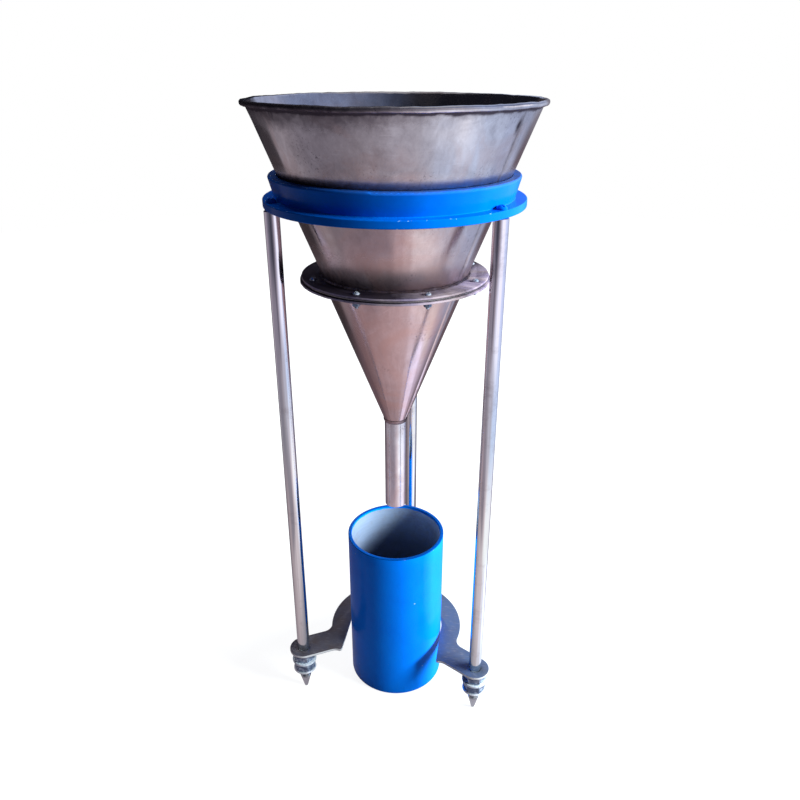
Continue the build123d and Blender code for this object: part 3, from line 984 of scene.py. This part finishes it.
def bead_outline(radius, level, slope, up, width, tall, seed):
    """Outline of a bead in the corner between a flat ring and a cone, above or below the ring."""

    def outline(turn):
        lump = 1 + waver(turn, 0.0, (0.45, 0.0, 9.0, seed), (0.25, 0.0, 30.0, seed + 5))
        arc = [(radius + width * lump, level - up * bead_sunk)]
        for step in range(bead_rows + 1):
            lean = pi / 2 * step / bead_rows
            lift = tall * lump * sin(lean)
            arc.append((radius + up * slope * lift + width * lump * cos(lean), level + up * lift))
        arc.append((radius - bead_root, level + up * 0.5 * tall))
        arc.append((radius - bead_root, level - up * bead_sunk))
        return arc if up > 0 else arc[::-1]

    return outline


def neck_outline(turn):
    """Outline of the bead round the top of the spout."""
    lump = 1 + 0.5 * round_noise(turn, 0.0, 4.0, 61.0)
    points = [
        (spout_radius + out * lump + max(0.0, rise) * lower_slope, spout_top + rise)
        for out, rise in neck_swell
    ]
    return [*points, *((spout_radius - neck_root, spout_top + rise) for rise in neck_back)]


upper_bead = bead_outline(
    throat_radius, joint_top, tan(upper_angle), up=1, width=1.9, tall=1.7, seed=51.0)
lower_bead = bead_outline(
    throat_radius, joint_base, lower_slope, up=-1, width=1.3, tall=1.5, seed=57.0)
for weld, outline, turns in (
    ("upper_weld", upper_bead, even_turns(weld_sides)),
    ("lower_weld", lower_bead, even_turns(weld_sides)),
    ("spout_weld", neck_outline, even_turns(neck_sides)),
):
    dressed(turned(weld, outline, turns), "funnel", "stainless_sheet", weld_bead)

# Sieve joint: a perforated steel plate across the throat, clamped between two thin rubber gaskets
# that are cut a little short of the flanges' edges.
sieve_bright = (0.55, 0.53, 0.53, 1)
sieve_dull = (0.30, 0.28, 0.28, 1)
rubber_black = (0.012, 0.011, 0.013, 1)
rubber_dusty = (0.06, 0.055, 0.06, 1)

sieve_steel, tree, spot = surface("sieve_steel", Metallic=1.0)
sieve_lines = lines_on(tree, spot, (40, 1500, 300))
sieve_dust = dirt_on(tree, spot, 45.0, 0.6)
sieve_colour = tinted(tree, by_noise(tree, sieve_lines), sieve_dull, sieve_bright)
sieve_colour = laid(tree, sieve_colour, steel_tan, sieve_dust, 0.5)
joined(tree, Base_Color=sieve_colour, Roughness=ranged(tree, sieve_dust, 0.0, 1.0, 0.28, 0.55))
bumped(tree, sieve_lines, 0.02)
carried("sieve_plate", sieve_steel)

gasket_rubber, tree, spot = surface("gasket_rubber")
rubber_cloud = mottle(tree, spot, 700.0, 4.0, 0.6)
rubber_colour = laid(tree, rubber_black, rubber_dusty, dirt_on(tree, spot, 90.0, 0.5), 0.6)
joined(tree, Base_Color=rubber_colour, Roughness=by_noise(tree, rubber_cloud, 0.55, 0.8))
bumped(tree, rubber_cloud, 0.05)
carried("upper_gasket", gasket_rubber)
carried("lower_gasket", gasket_rubber)

# Lower cone and spout: a second hand-bent cone, lapped like the first, that narrows to a straight
# drawn tube, butt-welded on, through which the powder falls.
spout_wall = 1.2
spout_length = spout_high[2] - spout_low[2]
spout_rows = [6, 20, 35, 50, 65, 80]
spout_cut = 0.25
spout_ease = 0.35
spout_bore_ease = 0.25
spout_sides = 72
lower_rows = 36
lower_flats = ((0.30, 0.004, 4.0, 71.0), (0.12, 0.012, 9.0, 77.0))
lower_lap_share = 0.7
neck_stiff = 12.0
flange_stiff = 8.0
lower_angle = atan2(throat_radius - spout_radius, joint_base - spout_top)
spout_light = (0.90, 0.95, 0.99, 1)
spout_dark = (0.72, 0.75, 0.82, 1)


def lower_bent(turn, height):
    """How far the lower sheet stands off its true cone."""
    share = eased_between(height, spout_top, spout_top + neck_stiff, joint_base - flange_stiff, joint_base)
    lap = lower_lap_share * lap_step * lapped(turn, 2 * lap_width)
    return share * (waver(turn, height, *lower_flats) + lap)


def lower_outline(turn):
    """Outside and inside of the lower cone."""
    wall = sheet / cos(lower_angle)
    outside = []
    for row in range(lower_rows + 1):
        height = spout_top + (joint_base - spout_top) * row / lower_rows
        radius = spout_radius + (height - spout_top) * lower_slope
        radius += lower_bent(turn, height) * cos(lower_angle)
        outside.append((radius, height, stain_and_shade_mark(turn, height)))
    return outside + [(radius - wall, height) for radius, height, mark in reversed(outside)]


def spout_outline(turn):
    """A straight tube, its lower end cut by hand and filed."""
    cut = spout_cut * round_noise(turn, 0.0, 1.2, 81.0)
    bore = spout_radius - spout_wall
    low = spout_low[2] + spout_cut
    rows = [*spout_rows, spout_length - spout_cut]
    outside = [(spout_radius, low + spout_ease + cut), *((spout_radius, low + rise) for rise in rows)]
    inside = [(bore, height) for radius, height in reversed(outside)]
    return [(spout_radius - spout_ease, low + cut), *outside, *inside, (bore + spout_bore_ease, low + cut)]


spout_steel = stained_sheet("spout_steel", spout_light, spout_dark, polish=0.12)
lower_funnel = turned("lower_funnel", lower_outline, upper_turns)
dressed(lower_funnel, "funnel", "stainless_sheet", stainless_sheet, "lower_cone")
spout = turned("spout", spout_outline, even_turns(spout_sides))
dressed(spout, "funnel", "stainless_sheet", spout_steel, "spout_tube")

# Flange screws and nuts: eight M3 round-head screws through the sieve joint, slotted, zinc-plated,
# with a hexagon nut on each thread under the lower flange.
flange_screw_circle = 70.5
flange_screw_count = 8
flange_screw_start = radians(30.0)
flange_screw = {"shank": 1.5, "length": 11.0, "edge": 2.75, "side": 0.6, "height": 2.2, "pitch": 0.5}
flange_screw_slot = (0.8, 0.9)
flange_screw_sides = 28
flange_nut_across = 5.5
flange_nut_height = 4.4
flange_nut_bore = 1.55
flange_nut_ease = 0.2
flange_nut_sides = 48
flange_bearings = [flange_screw_start + turn for turn in even_turns(flange_screw_count)]
flange_spots = [
    (flange_screw_circle * cos(turn), flange_screw_circle * sin(turn)) for turn in flange_bearings
]
flange_slot_turn = 0.9

screw_shape = screw_outline(**flange_screw)
one_screw = turned("flange_screw", screw_shape, even_turns(flange_screw_sides), closed=False)
one_screw = slotted(one_screw, *flange_screw_slot, flange_screw["height"])
screw_places = [at(*place, joint_top, flange_slot_turn * count) for count, place in enumerate(flange_spots)]
screw_set = set_out("round_head_screws", one_screw, screw_places)
screw_zinc = fresh_zinc("screw_zinc", 0.8)
dressed(screw_set, "funnel", "zinc_hardware", screw_zinc, "flange_screws")
nut_shape = nut_outline(
    flange_nut_across, flange_nut_height, flange_nut_bore, -flange_nut_height, flange_nut_ease)
one_nut = turned("flange_nut", nut_shape, even_turns(flange_nut_sides))
nut_places = [at(*place, joint_base, turn) for place, turn in zip(flange_spots, flange_bearings)]
nut_set = set_out("screw_nuts", one_nut, nut_places)
dressed(nut_set, "funnel", "zinc_hardware", zinc_plate, "flange_nuts")

# Measure: a one-litre pot of steel tube, its rim turned true and a disc let in below. The outside and
# the rim are in the same blue enamel, and the inside is bare, smooth steel. The top of the rim and the
# bore toward its bottom are painted darker in shade.
measure_high = span("measure_tube")[1]
measure_radius = measure_high[0]
measure_height = measure_high[2]
measure_bore = 43.6
measure_round = 0.6
measure_round_rows = 4
measure_foot_ease = 0.3
enamel_sag = (0.05, 0.0, 5.0, 91.0)
measure_sides = 128
outside_rows = [12.0 + 18.0 * step for step in range(9)]
inside_rows = [156.0 - 19.0 * step for step in range(8)]
bare_steel = (0.40, 0.50, 0.70, 1)
bare_dull = (0.33, 0.42, 0.61, 1)
bore_shade = (0.10, 0.125, 0.22, 1)
measure_blue = (0.0, 0.207, 0.95, 1)
measure_deep = (0.0, 0.178, 0.90, 1)
rim_shade = (0.0, 0.030, 0.17, 1)
measure_flecks = 1.5
enamel_lap = 1.3
bare_top = measure_height - enamel_lap
bore_shade_heights = (162.0, 126.0)
rim_edge = measure_height - 0.2
measure_edges = [(measure_radius - 0.2, rim_edge), (measure_bore + 0.2, rim_edge), (measure_radius, 0.0)]


def blended(tree, share, first, second):
    """A value between two, by the second one's share."""
    return added(tree, first, share, reckon(tree, "SUBTRACT", second, first))


measure_finish, tree, spot = surface(
    "measure_finish", Specular_IOR_Level=enamel_gloss, Specular_Tint=enamel_sheen)
enamel_colour, enamel_rough, enamel_height = enamelled(
    tree, spot, measure_deep, measure_blue, measure_edges, measure_flecks)
height = height_on(tree, spot)
brushed_over = added(tree, height, mottle(tree, spot, 120.0), 0.002)
inside = graded(tree, reach_on(tree, spot), measure_bore + 0.35, measure_bore + 0.15)
inside = reckon(tree, "MULTIPLY", inside, graded(tree, brushed_over, bare_top, bare_top - 0.4))
# The top of the rim is darkened: painted shade
rim_top_shade = graded(tree, height, measure_height - 0.9, measure_height - 0.3, 0.0, 0.9)
enamel_colour = tinted(tree, rim_top_shade, enamel_colour, rim_shade)
bore_marks = lines_on(tree, spot, (60, 60, 1400))
bore_dirt = dirt_on(tree, spot, 30.0, 0.6)
bore_colour = tinted(tree, by_noise(tree, bore_marks), bare_dull, bare_steel)
bore_colour = laid(tree, bore_colour, rod_smudge, bore_dirt, 0.4)
# Darker toward the bottom of the bore: painted shade
bore_colour = tinted(tree, graded(tree, brushed_over, *bore_shade_heights, 0.0, 0.8), bore_colour, bore_shade)
bore_rough = added(tree, by_noise(tree, bore_marks, 0.50, 0.38), bore_dirt, 0.15)
joined(
    tree,
    Base_Color=tinted(tree, inside, enamel_colour, bore_colour),
    Metallic=reckon(tree, "MULTIPLY", inside, 0.5),
    Roughness=blended(tree, inside, enamel_rough, bore_rough),
)
bumped(tree, blended(tree, inside, enamel_height, bore_marks), 0.08)


def measure_outline(turn):
    """Tube with a rounded rim, slightly uneven where the enamel lies thick."""
    thick = waver(turn, 0.0, enamel_sag)
    leans = [pi / 2 * step / measure_round_rows for step in range(measure_round_rows + 1)]
    rounding = [(measure_round * (1 - cos(lean)), measure_round * (1 - sin(lean))) for lean in leans]
    return [
        (measure_radius - measure_foot_ease, 0), (measure_radius, measure_foot_ease),
        *((measure_radius + thick, level) for level in outside_rows),
        *((measure_radius - inward, measure_height - down) for inward, down in rounding),
        *((measure_bore + inward, measure_height - down) for inward, down in reversed(rounding)),
        *((measure_bore, level) for level in inside_rows),
        (measure_bore, 0),
    ]


litre_measure = turned("litre_measure", measure_outline, even_turns(measure_sides))
dressed(litre_measure, "measure", "blue_paint", measure_finish, "measure_tube")

measure_steel, tree, spot = surface("measure_steel", Metallic=1.0)
disc_marks = lines_on(tree, spot, (500, 90, 500))
disc_colour = tinted(tree, by_noise(tree, disc_marks), bare_dull, bare_steel)
disc_colour = laid(tree, disc_colour, rod_smudge, dirt_on(tree, spot, 40.0, 0.7), 0.5)
joined(tree, Base_Color=disc_colour, Roughness=by_noise(tree, disc_marks, 0.40, 0.28))
bumped(tree, disc_marks, 0.03)
carried("measure_base", measure_steel)

# Studio: pale paper floor, a cool window lamp on the right, a weak fill behind on the left, and a round
# reflection tent that only polished surfaces see: brown tiles below, then grey screens, a bright hall
# between dark walls, a window and a dim ceiling.
floor_radius = 2.6
stage_sides = 96
floor_paper = (0.18, 0.18, 0.185, 1)
floor_paler = (0.20, 0.20, 0.20, 1)
floor_near, floor_far = 0.88, 1.0
floor_fade = (0.25, 0.9)
sky_blue = (0.42, 0.58, 1.0, 1)
sky_strength = 0.085
lamp_aim = (0, 0, 0.28)
backdrop_white = (1, 1, 1, 1)
tent_radius = 0.42
tent_height = 1.1
tent_skirt = 0.04
inner_tiles_reach = (0.06, 0.20)
outer_tiles_reach = (0.30, 0.35)
roof_levels = (1.05, 1.09)
roof_reach = (0.38, 0.28)
camera_bearing = 9.684
black_cloth = (0.012, 0.0125, 0.019, 1)
dark_cloth = (0.05, 0.042, 0.048, 1)
dim_screen = (0.27, 0.245, 0.285, 1)
grey_screen = (0.38, 0.34, 0.375, 1)
front_screen = (0.56, 0.54, 0.61, 1)
window_haze = (0.72, 0.83, 1.06, 1)
window_side = (0.57, 0.66, 0.90, 1)
window_pane = (1.4, 1.45, 1.6, 1)
tile_dark = (0.17, 0.125, 0.15, 1)
tile_shade = (0.26, 0.235, 0.29, 1)
tile_brown = (0.50, 0.37, 0.40, 1)
tile_light = (0.78, 0.61, 0.65, 1)
tile_cool = (0.68, 0.59, 0.77, 1)
tile_pale = (1.02, 0.90, 1.02, 1)
tile_sunlit = (1.48, 1.46, 1.86, 1)
tile_mauve = (0.31, 0.245, 0.29, 1)
tile_glow = (1.20, 1.10, 1.13, 1)
ceiling_dim = (0.055, 0.072, 0.122, 1)
ceiling_blue = (0.28, 0.35, 0.55, 1)
roof_pale = (0.50, 0.50, 0.52, 1)
hall_black = (0.045, 0.045, 0.062, 1)
hall_dark = (0.13, 0.125, 0.16, 1)
hall_pale = (0.62, 0.63, 0.72, 1)
hall_white = (1.10, 1.12, 1.22, 1)

# Tones round the tent at each level, by degrees to the right of the camera
tiles = [
    (-180, tile_brown), (-155, tile_dark), (-118, tile_dark), (-70, tile_brown), (-5, tile_light),
    (28, tile_light), (40, tile_pale), (56, tile_pale), (66, tile_sunlit), (86, tile_sunlit),
    (100, tile_cool), (118, tile_shade), (152, tile_dark), (180, tile_brown),
]
outer_tiles = [
    (-180, tile_brown), (-155, tile_dark), (-118, tile_dark), (-74, tile_brown), (-45, tile_mauve),
    (-14, tile_mauve), (12, tile_light), (32, tile_glow), (92, tile_glow), (106, tile_cool),
    (122, tile_shade), (152, tile_dark), (180, tile_brown),
]
left_screens = [
    (-180, dim_screen), (-162, grey_screen), (-152, dark_cloth), (-119, dark_cloth), (-114, grey_screen),
    (-91, grey_screen),
]
right_screens = [
    (86, window_haze), (104, window_side), (122, window_side), (136, tile_dark), (156, tile_dark),
    (166, dim_screen), (180, dim_screen),
]
screens = [
    *left_screens, (-85, dim_screen), (-58, dim_screen), (-30, grey_screen), (0, front_screen),
    (22, front_screen), (50, window_haze), *right_screens,
]
hall = [
    *left_screens, (-82, dim_screen), (-40, dim_screen), (-23, hall_dark), (-8, grey_screen),
    (6, hall_pale), (30, hall_white), (56, hall_white), (72, window_haze), *right_screens,
]
upper_hall = [
    *left_screens, (-80, dim_screen), (-55, hall_dark), (-28, hall_black), (-10, hall_dark),
    (5, grey_screen), (18, hall_pale), (34, hall_white), (56, hall_white), (72, window_haze), *right_screens,
]
shades = [
    (-180, dark_cloth), (-172, black_cloth), (-30, black_cloth), (6, dim_screen), (38, front_screen),
    (66, window_side), (90, window_haze), (118, window_haze), (140, dim_screen), (165, dark_cloth),
    (180, dark_cloth),
]
high_window = [
    (118, ceiling_blue), (140, window_side), (168, window_side), (176, ceiling_dim), (180, black_cloth),
]
brow = [
    (-180, black_cloth), (-30, black_cloth), (6, dim_screen), (38, front_screen), (66, window_side),
    (82, ceiling_blue), *high_window,
]
ceiling = [(-180, black_cloth), (-25, black_cloth), (6, ceiling_dim), (78, ceiling_blue), *high_window]
tent_levels = [
    (0.01, 0.13, screens), (0.20, 0.26, hall), (0.31, 0.37, upper_hall), (0.44, 0.49, shades),
    (0.62, 0.68, brow), (0.84, 0.94, ceiling),
]
pane_bearings = (72, 78, 98, 104)
pane_heights = (0.52, 0.55, 0.70, 0.74)


def seen_white(tree):
    """One for what the camera, a mirror or glass sees, and none for the light that a surface gathers."""
    path = shader_node(tree, "LightPath").outputs
    seen = reckon(tree, "ADD", path["Is Camera Ray"], path["Is Glossy Ray"])
    return reckon(tree, "MINIMUM", reckon(tree, "ADD", seen, path["Is Transmission Ray"]), 1.0)


def bare_material(name):
    """An empty material for a stage piece."""
    made = bpy.data.materials.new(name)
    made.use_nodes = True
    made.node_tree.nodes.clear()
    made.cycles.emission_sampling = "NONE"
    return made, made.node_tree


floor_finish, tree = bare_material("floor_paper")
floor_spot = spot_on(tree)
floor_colour = tinted(tree, mottle(tree, floor_spot, 9.0), floor_paper, floor_paler)
floor_white = ranged(tree, reach_on(tree, floor_spot), *floor_fade, floor_near, floor_far)
lit = shader_node(tree, "BsdfDiffuse", {"Color": floor_colour})
white = shader_node(tree, "Emission", {"Strength": reckon(tree, "MULTIPLY", seen_white(tree), floor_white)})
both = shader_node(tree, "AddShader", {0: lit.outputs[0], 1: white.outputs[0]})
shader_node(tree, "OutputMaterial", {"Surface": both.outputs[0]})


def set_up(name, outline, finish):
    """A round stage piece with its finish."""
    mesh = turned(name, outline, even_turns(stage_sides), closed=False)
    coated(mesh, finish)
    return put_in(name, mesh)


floor = set_up("floor", lambda turn: [(floor_radius / mm, 0), (0, 0)], floor_finish)

tent_finish, tree = bare_material("reflection_tent")
tent_spot = spot_on(tree)
parts = shader_node(tree, "SeparateXYZ", {0: tent_spot}).outputs
bearing = reckon(tree, "ARCTAN2", parts[0], reckon(tree, "MULTIPLY", parts[1], -1.0))
bearing = reckon(tree, "SUBTRACT", reckon(tree, "DIVIDE", bearing, 2 * pi), camera_bearing / 360)
bearing = reckon(tree, "FRACT", reckon(tree, "ADD", bearing, 1.5))


def tones_round(tree, bearing, stops):
    """Colour round the tent, from tones at degrees to the right of the camera."""
    made = shader_node(tree, "ValToRGB", {0: bearing})
    for place, tone in stops[1:-1]:
        made.color_ramp.elements.new(place / 360 + 0.5)
    for stop, (place, tone) in zip(made.color_ramp.elements, stops):
        stop.position = place / 360 + 0.5
        stop.color = tone
    return made.outputs[0]


tent_reach = reach_on(tree, tent_spot)
tent_colour = tinted(
    tree, ranged(tree, tent_reach, *inner_tiles_reach), tile_shade, tones_round(tree, bearing, tiles))
tent_colour = tinted(
    tree, ranged(tree, tent_reach, *outer_tiles_reach), tent_colour, tones_round(tree, bearing, outer_tiles))
for low, high, stops in tent_levels:
    tones = tones_round(tree, bearing, stops)
    tent_colour = tinted(tree, ranged(tree, parts[2], low, high), tent_colour, tones)
roof = reckon(
    tree, "MULTIPLY", ranged(tree, parts[2], *roof_levels), ranged(tree, tent_reach, *roof_reach))
tent_colour = tinted(tree, roof, tent_colour, roof_pale)
pane = between(tree, bearing, *(place / 360 + 0.5 for place in pane_bearings))
pane = reckon(tree, "MULTIPLY", pane, between(tree, parts[2], *pane_heights))
glow = shader_node(tree, "Emission", {"Color": tinted(tree, pane, tent_colour, window_pane)})
shader_node(tree, "OutputMaterial", {"Surface": glow.outputs[0]})


def tent_outline(turn):
    """A roof, an upright wall, and a low disc round the object."""
    wide, tall = tent_radius / mm, tent_height / mm
    return [(0, tall), (wide, tall), (wide, 2), (wide - tent_skirt / mm, 1), (0, 1)]


tent = set_up("reflection_tent", tent_outline, tent_finish)
tent.visible_camera = False
tent.visible_diffuse = False
tent.visible_shadow = False
tent.visible_volume_scatter = False

world = bpy.data.worlds.new("studio")
world.use_nodes = True
tree = world.node_tree
tree.nodes.clear()
ambient = shader_node(tree, "Background", {"Color": sky_blue, "Strength": sky_strength}).outputs[0]
backdrop = shader_node(tree, "Background", {"Color": backdrop_white, "Strength": 1.0}).outputs[0]
world_mix = shader_node(tree, "MixShader", {0: seen_white(tree), 1: ambient, 2: backdrop})
shader_node(tree, "OutputWorld", {"Surface": world_mix.outputs[0]})
bpy.context.scene.world = world


def lamp(name, bearing, rise, away, width, tall, watts, colour):
    """A soft area lamp aimed at the object, at a bearing to the right of the front."""
    turn, lift = radians(bearing), radians(rise)
    data = bpy.data.lights.new(name, "AREA")
    data.shape = "RECTANGLE"
    data.size, data.size_y = width, tall
    data.energy = watts
    data.color = colour
    made = put_in(name, data)
    towards = Vector((sin(turn) * cos(lift), -cos(turn) * cos(lift), sin(lift)))
    made.location = Vector(lamp_aim) + away * towards
    made.rotation_euler = towards.to_track_quat("Z", "Y").to_euler()
    made.visible_glossy = False


lamp("window", bearing=88.0, rise=24.0, away=1.5, width=1.1, tall=0.4, watts=110.0,
     colour=(0.88, 1.0, 1.0))
lamp("rear_fill", bearing=-150.0, rise=30.0, away=1.5, width=1.0, tall=1.0, watts=20.0,
     colour=(0.95, 0.97, 1.0))

# Camera: a little above the funnel's rim and to the right of the front, looking down at the whole
# object through a lens that is a little wide.
camera_away = 0.5933
camera_height = 0.5907
camera_tilt = 25.189
camera_turn = 9.289
camera_lens = 32.605
camera_sensor = 36.0
camera_data = bpy.data.cameras.new("camera")
camera_data.lens = camera_lens
camera_data.sensor_width = camera_sensor
camera = put_in("camera", camera_data)
camera.location = (
    camera_away * sin(radians(camera_bearing)), -camera_away * cos(radians(camera_bearing)), camera_height)
camera.rotation_euler = (radians(90 - camera_tilt), 0, radians(camera_turn))
bpy.context.scene.camera = camera
bpy.context.scene.view_settings.view_transform = "Standard"
